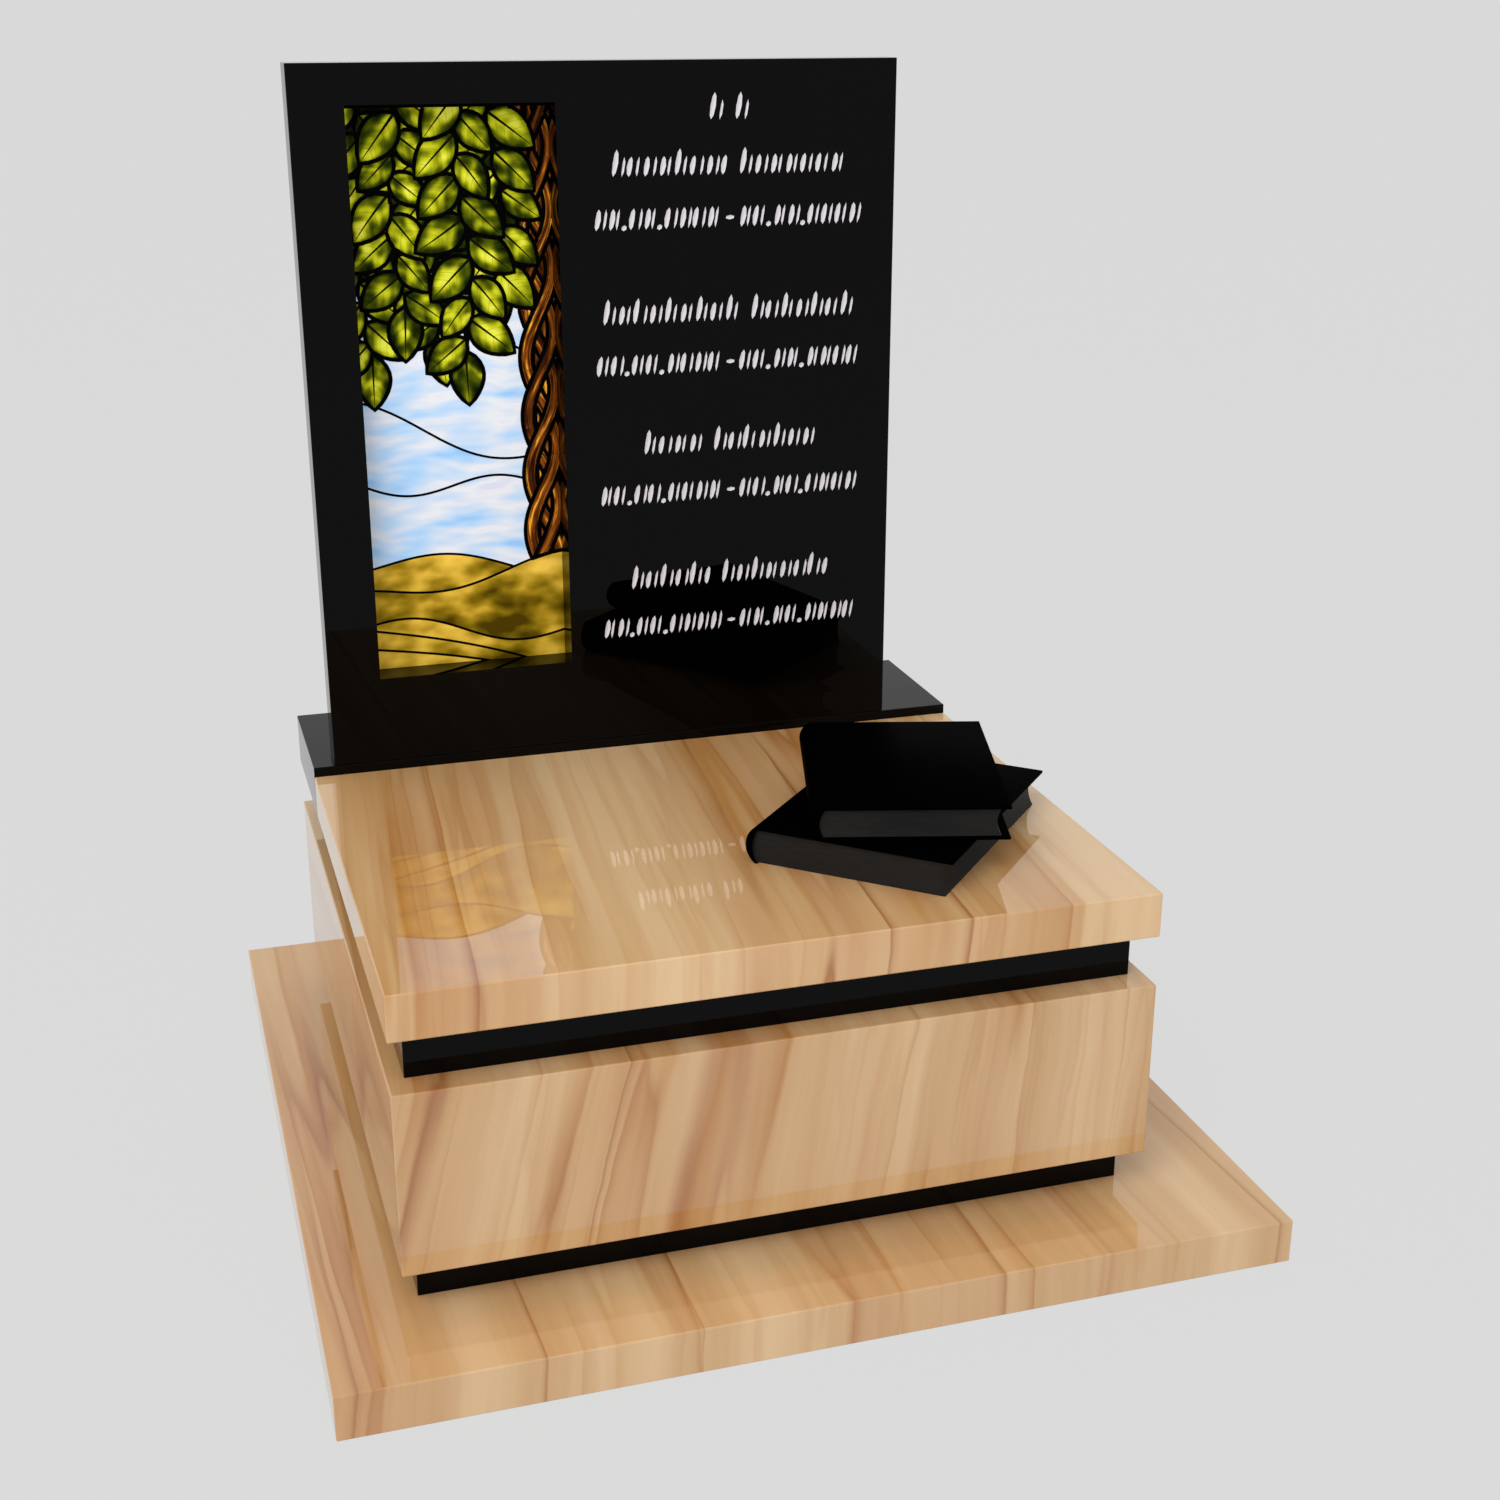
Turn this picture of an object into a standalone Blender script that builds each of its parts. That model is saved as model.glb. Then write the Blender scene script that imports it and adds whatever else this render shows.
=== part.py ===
# Urn grave memorial: a sandstone urn box on a base slab, with recessed black granite frames,
# a cover slab, a black headstone with a glass window, and two granite books on the cover.
# Metres, +Z up, front towards -Y. The origin is the centre of the base slab's underside.

import math
import random

import bmesh
import bpy
from mathutils import Matrix, Vector

# Stone courses, from the ground up
BASE_WIDTH = 1.006
BASE_DEPTH = 1.004
BASE_THICKNESS = 0.050
LOWER_FRAME_HEIGHT = 0.045
BOX_WIDTH = 0.800
BOX_DEPTH = 0.800
BOX_HEIGHT = 0.200
BOX_WALL = 0.050
UPPER_FRAME_HEIGHT = 0.055
COVER_THICKNESS = 0.050
STACK_SHIFT_X = -0.021
STACK_SHIFT_Y = 0.003
FRAME_SIDE_INSET = 0.0175
FRAME_FRONT_INSET = 0.032
FRAME_STRIP = 0.030
BED_JOINT = 0.0003
SLAB_EDGE = 0.0015

# Headstone and the plinth that it stands on; the headstone takes the height that is left
OVERALL_HEIGHT = 1.202
PLINTH_DEPTH = 0.200
PLINTH_RISE = 0.011
STONE_WIDTH = 0.691
STONE_THICKNESS = 0.043
STONE_LEFT_MARGIN = 0.0245
STONE_EDGE = 0.001

# Window in the headstone and its glass pane
WINDOW_LEFT_MARGIN = 0.060
WINDOW_WIDTH = 0.230
WINDOW_SILL = 0.1025
WINDOW_TOP_MARGIN = 0.0435
PANE_THICKNESS = 0.004
REBATE_LAP = 0.008

# Inscription: rows of cut strokes that are not letters
ROW_SIDE_MARGIN = 0.040
OPENING_ROW_DROP = 0.066
FIRST_NAME_DROP = 0.126
LAST_NAME_RISE = 0.189
DATE_ROW_BELOW_NAME = 0.0585
NAME_ROW_SHIFTS = (0.0, -0.006, 0.0, -0.004)
NAME_WORDS = ((15, 14), (18, 14), (8, 14), (11, 15))
DATE_GROUPS = (4, 4, 8)
CAPITAL_HEIGHT = 0.0325
SMALL_HEIGHT = 0.0240
DATE_HEIGHT = 0.0262
STROKE_PITCH = 0.0092
DASH_ROOM = 0.022
WORD_SPACE = 0.012
BROAD_STROKE = 0.0070
FINE_STROKE = 0.0037
STROKE_LEAN = 0.26
STROKE_BOW = 0.0012
STROKE_DEPTH = 0.0012
STROKE_OVERCUT = 0.0006
BROAD_SIDES = 8
FINE_SIDES = 6
STROKE_SEED = 11

# Books: spine length, reach from spine to fore-edge, height; each corner is the near fore-edge
# one, from the middle of the stack's front edge
LOWER_BOOK = (0.296, 0.2335, 0.0412)
LOWER_BOOK_TURN = math.radians(-42.4)
LOWER_BOOK_CORNER = (0.1846, 0.0476)
UPPER_BOOK = (0.271, 0.2085, 0.037)
UPPER_BOOK_TURN = math.radians(-15.7)
UPPER_BOOK_CORNER = (0.2654, 0.0859)
BOARD_THICKNESS = 0.003
BOARD_OVERHANG = 0.0045
SPINE_THICKNESS = 0.0085
SPINE_BULGE = 0.011
PAGE_BULGE = 0.0055
PAGE_LAP = 0.001
FORE_EDGE_OVERHANG = 0.0085
FORE_EDGE_HOLLOW = 0.006
BOOK_ARC_STEPS = 10

# Levels of the beds, each the top of the course below
BASE_TOP = BASE_THICKNESS
BOX_BED = BASE_TOP + LOWER_FRAME_HEIGHT
BOX_TOP = BOX_BED + BOX_HEIGHT
COVER_BED = BOX_TOP + UPPER_FRAME_HEIGHT
COVER_TOP = COVER_BED + COVER_THICKNESS
PLINTH_TOP = COVER_TOP + PLINTH_RISE
STONE_TOP = OVERALL_HEIGHT

# Plan of the stack
STACK_LEFT = STACK_SHIFT_X - BOX_WIDTH / 2
STACK_RIGHT = STACK_SHIFT_X + BOX_WIDTH / 2
STACK_FRONT = STACK_SHIFT_Y - BOX_DEPTH / 2
STACK_BACK = STACK_SHIFT_Y + BOX_DEPTH / 2
PLINTH_FRONT = STACK_BACK - PLINTH_DEPTH
STONE_LEFT = STACK_LEFT + STONE_LEFT_MARGIN
STONE_RIGHT = STONE_LEFT + STONE_WIDTH
STONE_BACK = PLINTH_FRONT + STONE_THICKNESS
WINDOW_LEFT = STONE_LEFT + WINDOW_LEFT_MARGIN
WINDOW_RIGHT = WINDOW_LEFT + WINDOW_WIDTH
WINDOW_BOTTOM = PLINTH_TOP + WINDOW_SILL
WINDOW_TOP = STONE_TOP - WINDOW_TOP_MARGIN

SANDSTONE = (0.62, 0.43, 0.25)
BLACK_GRANITE = (0.012, 0.012, 0.013)
BOOK_GRANITE = (0.006, 0.006, 0.006)
COLOURED_GLASS = (0.42, 0.46, 0.16)


def clear_scene():
    for old in list(bpy.data.objects):
        bpy.data.objects.remove(old)


def new_collection(name):
    made = bpy.data.collections.new(name)
    bpy.context.scene.collection.children.link(made)
    return made


def new_material(name, colour, roughness):
    made = bpy.data.materials.new(name)
    made.use_nodes = True
    shader = made.node_tree.nodes["Principled BSDF"]
    shader.inputs["Base Color"].default_value = (*colour, 1.0)
    shader.inputs["Roughness"].default_value = roughness
    shader.inputs["Metallic"].default_value = 0.0
    return made


def object_from(name, shape, collection, material=None):
    mesh = bpy.data.meshes.new(name)
    shape.to_mesh(mesh)
    shape.free()
    made = bpy.data.objects.new(name, mesh)
    collection.objects.link(made)
    if material:
        mesh.materials.append(material)
    return made


def block_shape(low, high):
    # A cube primitive brought to size between its two opposite corners.
    shape = bmesh.new()
    bmesh.ops.create_cube(shape, size=1.0)
    size = Vector(high) - Vector(low)
    middle = (Vector(high) + Vector(low)) / 2
    bmesh.ops.transform(shape, matrix=Matrix.Translation(middle) @ Matrix.Diagonal(size).to_4x4(), verts=shape.verts)
    return shape


def block(name, low, high, collection, material=None):
    return object_from(name, block_shape(low, high), collection, material)


def ease_edges(piece, width):
    ease = piece.modifiers.new("eased edges", "BEVEL")
    ease.width = width
    ease.segments = 2
    ease.limit_method = "ANGLE"


def cut(piece, tool):
    tool.hide_render = True
    tool.display_type = "WIRE"
    slot = piece.modifiers.new("cut " + tool.name, "BOOLEAN")
    slot.operation = "DIFFERENCE"
    slot.solver = "EXACT"
    slot.object = tool


def build_base(parts, sandstone):
    half_width = BASE_WIDTH / 2
    half_depth = BASE_DEPTH / 2
    slab = block("base_slab", (-half_width, -half_depth, 0), (half_width, half_depth, BASE_TOP), parts, sandstone)
    ease_edges(slab, SLAB_EDGE)


def build_frame(name, bottom, top, parts, cutters, granite):
    # A ring of strips set back under the course above, on all four sides.
    left = STACK_LEFT + FRAME_SIDE_INSET
    right = STACK_RIGHT - FRAME_SIDE_INSET
    front = STACK_FRONT + FRAME_FRONT_INSET
    back = STACK_BACK - FRAME_FRONT_INSET
    frame = block(name, (left, front, bottom + BED_JOINT), (right, back, top), parts, granite)
    inner_low = (left + FRAME_STRIP, front + FRAME_STRIP, bottom - FRAME_STRIP)
    inner_high = (right - FRAME_STRIP, back - FRAME_STRIP, top + FRAME_STRIP)
    cut(frame, block(name + "_hollow", inner_low, inner_high, cutters))


def build_box(parts, cutters, sandstone):
    low = (STACK_LEFT, STACK_FRONT, BOX_BED + BED_JOINT)
    high = (STACK_RIGHT, STACK_BACK, BOX_TOP)
    box = block("urn_chamber_box", low, high, parts, sandstone)
    ease_edges(box, SLAB_EDGE)
    inner_low = (STACK_LEFT + BOX_WALL, STACK_FRONT + BOX_WALL, BOX_BED - BOX_WALL)
    inner_high = (STACK_RIGHT - BOX_WALL, STACK_BACK - BOX_WALL, BOX_TOP + BOX_WALL)
    cut(box, block("urn_chamber_hollow", inner_low, inner_high, cutters))


def build_cover(parts, sandstone):
    low = (STACK_LEFT, STACK_FRONT, COVER_BED + BED_JOINT)
    high = (STACK_RIGHT, PLINTH_FRONT - BED_JOINT, COVER_TOP)
    cover = block("cover_slab", low, high, parts, sandstone)
    ease_edges(cover, SLAB_EDGE)


def build_plinth(parts, granite):
    low = (STACK_LEFT, PLINTH_FRONT, COVER_BED + BED_JOINT)
    high = (STACK_RIGHT, STACK_BACK, PLINTH_TOP)
    plinth = block("headstone_plinth", low, high, parts, granite)
    ease_edges(plinth, STONE_EDGE)


def add_stroke(shape, middle, foot, width, height, bow, sides):
    # One chisel mark: a cone squeezed to a leaf, leaning right, its point in the stone.
    length = STROKE_DEPTH + STROKE_OVERCUT
    overcut_scale = length / STROKE_DEPTH
    cone = bmesh.ops.create_cone(
        shape, cap_ends=True, segments=sides, radius1=0.5, radius2=0.0, depth=length)
    for corner in cone["verts"]:
        across, along, inward = corner.co
        curve = bow * (1 - 4 * along * along)
        lean = STROKE_LEAN * height * along
        corner.co = (
            middle + across * width * overcut_scale + lean + curve,
            PLINTH_FRONT + inward + length / 2 - STROKE_OVERCUT,
            foot + (0.5 + along * overcut_scale) * height)


def add_name_row(shape, centre, foot, words, chance):
    # Broad and fine marks by turns; the first of each word is as tall as a capital.
    width = sum(words) * STROKE_PITCH + (len(words) - 1) * WORD_SPACE
    place = centre - width / 2 + STROKE_PITCH / 2
    for count in words:
        for index in range(count):
            tall = index == 0 or (index > 2 and index % 4 == 0 and chance.random() < 0.6)
            height = CAPITAL_HEIGHT if tall else SMALL_HEIGHT
            broad = index % 2 == 0
            stroke = BROAD_STROKE if broad else FINE_STROKE
            sides = BROAD_SIDES if broad else FINE_SIDES
            bow = STROKE_BOW * chance.choice((-1.0, 0.4, 1.0))
            add_stroke(shape, place, foot, stroke, height, bow, sides)
            place += STROKE_PITCH
        place += WORD_SPACE


def add_date_row(shape, centre, foot, room, chance):
    # Two groups of even marks with low dots between them, and a lying dash in the middle.
    dots = len(DATE_GROUPS) - 1
    group_width = (room - DASH_ROOM) / 2
    pitch = group_width / (sum(DATE_GROUPS) + dots)
    for start in (centre - room / 2, centre + room / 2 - group_width):
        place = start + pitch / 2
        for number, count in enumerate(DATE_GROUPS):
            for index in range(count):
                broad = index % 2 == 0
                stroke = BROAD_STROKE if broad else FINE_STROKE
                sides = BROAD_SIDES if broad else FINE_SIDES
                bow = STROKE_BOW * chance.choice((-1.0, 1.0))
                add_stroke(shape, place, foot, stroke, DATE_HEIGHT, bow, sides)
                place += pitch
            if number < dots:
                add_stroke(shape, place - pitch / 4, foot, BROAD_STROKE, BROAD_STROKE, 0, FINE_SIDES)
                place += pitch
    dash_foot = foot + DATE_HEIGHT / 2 - FINE_STROKE
    add_stroke(shape, centre, dash_foot, WORD_SPACE, FINE_STROKE * 1.5, 0, FINE_SIDES)


def inscription_tool(cutters):
    chance = random.Random(STROKE_SEED)
    room = STONE_RIGHT - WINDOW_RIGHT - 2 * ROW_SIDE_MARGIN
    centre = (STONE_RIGHT + WINDOW_RIGHT) / 2
    shape = bmesh.new()
    add_name_row(shape, centre, STONE_TOP - OPENING_ROW_DROP, (2, 2), chance)
    first_foot = STONE_TOP - FIRST_NAME_DROP
    row_step = (first_foot - PLINTH_TOP - LAST_NAME_RISE) / (len(NAME_WORDS) - 1)
    for row, words in enumerate(NAME_WORDS):
        foot = first_foot - row * row_step + NAME_ROW_SHIFTS[row]
        add_name_row(shape, centre, foot, words, chance)
        add_date_row(shape, centre, foot - DATE_ROW_BELOW_NAME, room, chance)
    bmesh.ops.remove_doubles(shape, verts=shape.verts, dist=1e-6)
    bmesh.ops.recalc_face_normals(shape, faces=shape.faces)
    return object_from("inscription_strokes", shape, cutters)


def build_headstone(parts, cutters, granite):
    low = (STONE_LEFT, PLINTH_FRONT, PLINTH_TOP + BED_JOINT)
    high = (STONE_RIGHT, STONE_BACK, STONE_TOP)
    stone = block("headstone", low, high, parts, granite)
    ease_edges(stone, STONE_EDGE)
    window_low = (WINDOW_LEFT, PLINTH_FRONT - STONE_THICKNESS, WINDOW_BOTTOM)
    window_high = (WINDOW_RIGHT, STONE_BACK + STONE_THICKNESS, WINDOW_TOP)
    cut(stone, block("window_opening", window_low, window_high, cutters))
    rebate_front = STONE_BACK - PANE_THICKNESS - BED_JOINT
    rebate_low = (WINDOW_LEFT - REBATE_LAP, rebate_front, WINDOW_BOTTOM - REBATE_LAP)
    rebate_high = (WINDOW_RIGHT + REBATE_LAP, STONE_BACK + STONE_THICKNESS, WINDOW_TOP + REBATE_LAP)
    cut(stone, block("window_rebate", rebate_low, rebate_high, cutters))
    cut(stone, inscription_tool(cutters))
    stone.modifiers[-1].use_self = True


def build_pane(parts, glass):
    lap = REBATE_LAP - BED_JOINT
    low = (WINDOW_LEFT - lap, STONE_BACK - PANE_THICKNESS, WINDOW_BOTTOM - lap)
    high = (WINDOW_RIGHT + lap, STONE_BACK, WINDOW_TOP + lap)
    block("stained_glass_panel", low, high, parts, glass)


def arc_between(start, end, bulge):
    # Points from start to end, both at the same x, on an arc that bulges towards -X.
    chord = end[1] - start[1]
    radius = (chord * chord / 4 + bulge * bulge) / (2 * bulge)
    half_angle = math.asin(abs(chord) / 2 / radius)
    points = []
    for step in range(BOOK_ARC_STEPS + 1):
        angle = half_angle * (2 * step / BOOK_ARC_STEPS - 1)
        stand_off = radius * math.cos(angle) - (radius - bulge)
        rise = radius * math.sin(angle) * math.copysign(1, chord)
        points.append((start[0] - stand_off, (start[1] + end[1]) / 2 + rise))
    return points


def extruded_profile(name, outline, start, length, collection, material=None):
    # An outline in the XZ plane, drawn out along Y.
    shape = bmesh.new()
    face = shape.faces.new([shape.verts.new((x, start, z)) for x, z in outline])
    grown = bmesh.ops.extrude_face_region(shape, geom=[face], use_keep_orig=True)["geom"]
    moved = [item for item in grown if isinstance(item, bmesh.types.BMVert)]
    bmesh.ops.translate(shape, vec=(0, length, 0), verts=moved)
    bmesh.ops.recalc_face_normals(shape, faces=shape.faces)
    return object_from(name, shape, collection, material)


def case_outline(reach, height, bottom_board):
    # Top board, round spine and bottom board, from the fore-edge at x = 0 to the spine at -reach.
    spine = SPINE_BULGE - reach
    page_end = SPINE_THICKNESS + PAGE_BULGE - reach
    page_top = height - BOARD_THICKNESS
    page_bottom = BOARD_THICKNESS if bottom_board else 0.0
    outside = arc_between((spine, 0.0), (spine, height), SPINE_BULGE)
    inside = arc_between((page_end, page_top), (page_end, page_bottom), PAGE_BULGE)
    top_lip = [(0.0, height), (0.0, page_top)]
    bottom_lip = [(0.0, page_bottom), (0.0, 0.0)] if bottom_board else []
    return outside + top_lip + inside + bottom_lip


def page_outline(reach, height, bottom_board):
    # The page block, rounded at the spine and hollow at the fore-edge, let a little into the case.
    page_end = SPINE_THICKNESS + PAGE_BULGE - PAGE_LAP - reach
    page_top = height - BOARD_THICKNESS + PAGE_LAP
    page_bottom = BOARD_THICKNESS - PAGE_LAP if bottom_board else 0.0
    spine_side = arc_between((page_end, page_bottom), (page_end, page_top), PAGE_BULGE)
    fore_edge = arc_between(
        (-FORE_EDGE_OVERHANG, page_top), (-FORE_EDGE_OVERHANG, page_bottom), FORE_EDGE_HOLLOW)
    return spine_side + fore_edge


def smooth_round_faces(piece):
    # Only the spine and the fore-edge are round; boards and page ends stay flat.
    for face in piece.data.polygons:
        tilted = min(abs(face.normal.x), abs(face.normal.z)) > 0.01
        face.use_smooth = tilted


def build_book(name, book_size, turn, corner, bed, bottom_board, parts, cutters, granite):
    length, reach, height = book_size
    book = extruded_profile(name, case_outline(reach, height, bottom_board), 0.0, length, parts, granite)
    pages = extruded_profile(
        name + "_pages", page_outline(reach, height, bottom_board),
        BOARD_OVERHANG, length - 2 * BOARD_OVERHANG, cutters)
    place = Matrix.Translation((STACK_SHIFT_X + corner[0], STACK_FRONT + corner[1], bed + BED_JOINT))
    for piece in (book, pages):
        piece.matrix_world = place @ Matrix.Rotation(turn, 4, "Z")
        smooth_round_faces(piece)
    pages.hide_render = True
    pages.display_type = "WIRE"
    join = book.modifiers.new("joined pages", "BOOLEAN")
    join.operation = "UNION"
    join.solver = "EXACT"
    join.object = pages


def main():
    clear_scene()
    parts = new_collection("urn_grave_memorial")
    cutters = new_collection("cutters")
    sandstone = new_material("polished veined sandstone", SANDSTONE, 0.12)
    granite = new_material("polished black granite", BLACK_GRANITE, 0.05)
    book_granite = new_material("honed black granite", BOOK_GRANITE, 0.5)
    glass = new_material("stained glass", COLOURED_GLASS, 0.08)
    build_base(parts, sandstone)
    build_frame("lower_black_frame", BASE_TOP, BOX_BED, parts, cutters, granite)
    build_box(parts, cutters, sandstone)
    build_frame("upper_black_frame", BOX_TOP, COVER_BED, parts, cutters, granite)
    build_cover(parts, sandstone)
    build_plinth(parts, granite)
    build_headstone(parts, cutters, granite)
    build_pane(parts, glass)
    build_book("lower_book", LOWER_BOOK, LOWER_BOOK_TURN, LOWER_BOOK_CORNER,
               COVER_TOP, False, parts, cutters, book_granite)
    lower_book_top = COVER_TOP + BED_JOINT + LOWER_BOOK[2]
    build_book("upper_book", UPPER_BOOK, UPPER_BOOK_TURN, UPPER_BOOK_CORNER,
               lower_book_top, True, parts, cutters, book_granite)


main()
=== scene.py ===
import math
import random

import bpy
from mathutils import Euler, Matrix, Vector
from mathutils.geometry import delaunay_2d_cdt


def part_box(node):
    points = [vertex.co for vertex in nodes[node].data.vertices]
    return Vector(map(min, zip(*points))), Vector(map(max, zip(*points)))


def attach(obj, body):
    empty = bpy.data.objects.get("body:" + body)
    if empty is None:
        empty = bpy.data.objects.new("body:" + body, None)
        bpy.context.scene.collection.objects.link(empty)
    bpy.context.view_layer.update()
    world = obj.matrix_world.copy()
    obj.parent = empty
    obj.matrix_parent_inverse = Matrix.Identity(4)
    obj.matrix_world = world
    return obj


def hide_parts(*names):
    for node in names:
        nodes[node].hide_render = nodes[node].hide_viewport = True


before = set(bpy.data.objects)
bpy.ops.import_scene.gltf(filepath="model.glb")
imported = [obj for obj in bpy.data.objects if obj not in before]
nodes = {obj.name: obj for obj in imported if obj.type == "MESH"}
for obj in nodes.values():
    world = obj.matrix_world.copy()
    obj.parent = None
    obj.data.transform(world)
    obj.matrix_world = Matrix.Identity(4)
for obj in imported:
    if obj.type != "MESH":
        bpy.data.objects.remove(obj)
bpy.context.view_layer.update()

# Urn grave memorial: stone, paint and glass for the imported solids, then a plain studio.
for node in nodes.values():
    node.select_set(False)
print("frame loaded,", len(nodes), "nodes")


# Helpers for objects and their meshes.

def pick(thing):
    bpy.ops.object.select_all(action="DESELECT")
    thing.select_set(True)
    bpy.context.view_layer.objects.active = thing


def editWhole(thing):
    # edit mode, with the whole mesh selected
    pick(thing)
    bpy.ops.object.mode_set(mode="EDIT")
    bpy.ops.mesh.select_all(action="SELECT")


def dress(thing, *materials):
    thing.data.materials.clear()
    for material in materials:
        thing.data.materials.append(material)


def addObject(name, mesh):
    thing = bpy.data.objects.new(name, mesh)
    bpy.context.scene.collection.objects.link(thing)
    return thing


# Helpers for shader nodes.

def newMaterial(name, roughness, ior=1.5):
    material = bpy.data.materials.new(name)
    material.use_nodes = True
    shader = material.node_tree.nodes["Principled BSDF"]
    shader.inputs["Roughness"].default_value = roughness
    shader.inputs["IOR"].default_value = ior
    return material, material.node_tree, shader


def feed(tree, socket, value):
    # a socket takes a link, a number or a colour
    if isinstance(value, bpy.types.NodeSocket):
        tree.links.new(value, socket)
    elif isinstance(value, (tuple, list)) and socket.type == "RGBA":
        socket.default_value = (*value[:3], 1.0)
    else:
        socket.default_value = value


def maths(tree, operation, first, second=0.0, clamp=False):
    node = tree.nodes.new("ShaderNodeMath")
    node.operation = operation
    node.use_clamp = clamp
    feed(tree, node.inputs[0], first)
    feed(tree, node.inputs[1], second)
    return node.outputs[0]


def add(tree, first, second, clamp=False):
    return maths(tree, "ADD", first, second, clamp)


def less(tree, first, second):
    return maths(tree, "SUBTRACT", first, second)


def times(tree, first, second):
    return maths(tree, "MULTIPLY", first, second)


def noise(tree, vector, scale, detail=2.0, roughness=0.5, distortion=0.0):
    node = tree.nodes.new("ShaderNodeTexNoise")
    feed(tree, node.inputs["Vector"], vector)
    node.inputs["Scale"].default_value = scale
    node.inputs["Detail"].default_value = detail
    node.inputs["Roughness"].default_value = roughness
    node.inputs["Distortion"].default_value = distortion
    return node.outputs["Fac"]


def blend(tree, amount, first, second, mode="MIX"):
    node = tree.nodes.new("ShaderNodeMix")
    node.data_type = "RGBA"
    node.blend_type = mode
    feed(tree, node.inputs["Factor"], amount)
    feed(tree, node.inputs[6], first)     # the two colour inputs
    feed(tree, node.inputs[7], second)
    return node.outputs[2]


def grey(level):
    return (level,) * 3


def ramp(tree, amount, stops):
    node = tree.nodes.new("ShaderNodeValToRGB")
    feed(tree, node.inputs["Fac"], amount)
    points = node.color_ramp.elements
    while len(points) < len(stops):
        points.new(0.5)
    for point, (place, colour) in zip(points, stops):
        point.position = place
        point.color = (*colour, 1.0)
    return node.outputs["Color"]


def spread(tree, value, low, high):
    # 0 below low, 1 above high, straight between
    node = tree.nodes.new("ShaderNodeMapRange")
    node.clamp = True
    feed(tree, node.inputs["Value"], value)
    node.inputs["From Min"].default_value = low
    node.inputs["From Max"].default_value = high
    return node.outputs["Result"]


def objectPoint(tree):
    place = tree.nodes.new("ShaderNodeTexCoord").outputs["Object"]
    parts = tree.nodes.new("ShaderNodeSeparateXYZ")
    tree.links.new(place, parts.inputs[0])
    return place, parts.outputs[0], parts.outputs[1], parts.outputs[2]


def joinPoint(tree, x, y, z):
    node = tree.nodes.new("ShaderNodeCombineXYZ")
    for socket, value in zip(node.inputs, (x, y, z)):
        feed(tree, socket, value)
    return node.outputs[0]


def addBump(tree, shader, height, strength, distance):
    node = tree.nodes.new("ShaderNodeBump")
    node.inputs["Strength"].default_value = strength
    node.inputs["Distance"].default_value = distance
    feed(tree, node.inputs["Height"], height)
    tree.links.new(node.outputs[0], shader.inputs["Normal"])


# Sandstone: layers that stand on edge, so they run along the tops and down the fronts.

sandstone = {
    "roughness": 0.015,
    "ior": 1.82,
    "along": 0.030,           # how fast a layer changes lengthwise, against across
    "bends": ((2.1, 0.060), (10.0, 0.010), (42.0, 0.0022)),  # scale and reach, slow to fine
    "bendAlong": 0.35,        # how fast a bend changes sideways and lengthwise, against upwards
    "cream": (0.720, 0.488, 0.262),
    "beige": (0.630, 0.388, 0.182),
    "tan": (0.548, 0.300, 0.116),
    "blush": (0.620, 0.368, 0.192),
    "veinBand": (0.84, 0.66, 0.42),   # these three multiply the colour that they cross
    "veinLine": (0.74, 0.52, 0.29),
    "veinDark": (0.62, 0.41, 0.25),
    # tint, scale, width of the sharp side, of the soft side, strength, share outside dark beds, seed
    "veins": (
        ("veinBand", 8.0, 0.020, 0.17, 0.90, 0.32, 3.1),
        ("veinLine", 12.0, 0.010, 0.09, 0.75, 0.32, 7.7),
        ("veinDark", 6.5, 0.0055, 0.030, 0.70, 0.42, 12.3),
        ("veinLine", 26.0, 0.018, 0.10, 0.26, 0.55, 17.9),
    ),
    "bedding": 0.17,
    "grain": 0.13,
}
# drift picks the place in the block, lean tilts the layers in the front, fan changes that tilt from left to
# right, middle is the slab's mid height, slant turns the layers on the top, veined is the veins' strength
slabs = {
    "base_slab": {"drift": 4.0, "lean": 0.05, "fan": 0.0, "middle": 0.05, "slant": -0.03,
                  "veined": 1.15, "light": 1.0},
    "urn_chamber_box": {"drift": 9.3, "lean": 0.160, "fan": -0.28, "middle": 0.195, "slant": 0.04,
                        "veined": 1.25, "light": 0.97},
    "cover_slab": {"drift": 1.5, "lean": 0.0, "fan": 0.0, "middle": 0.40, "slant": 0.076,
                   "veined": 1.5, "light": 1.07},
}


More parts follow.
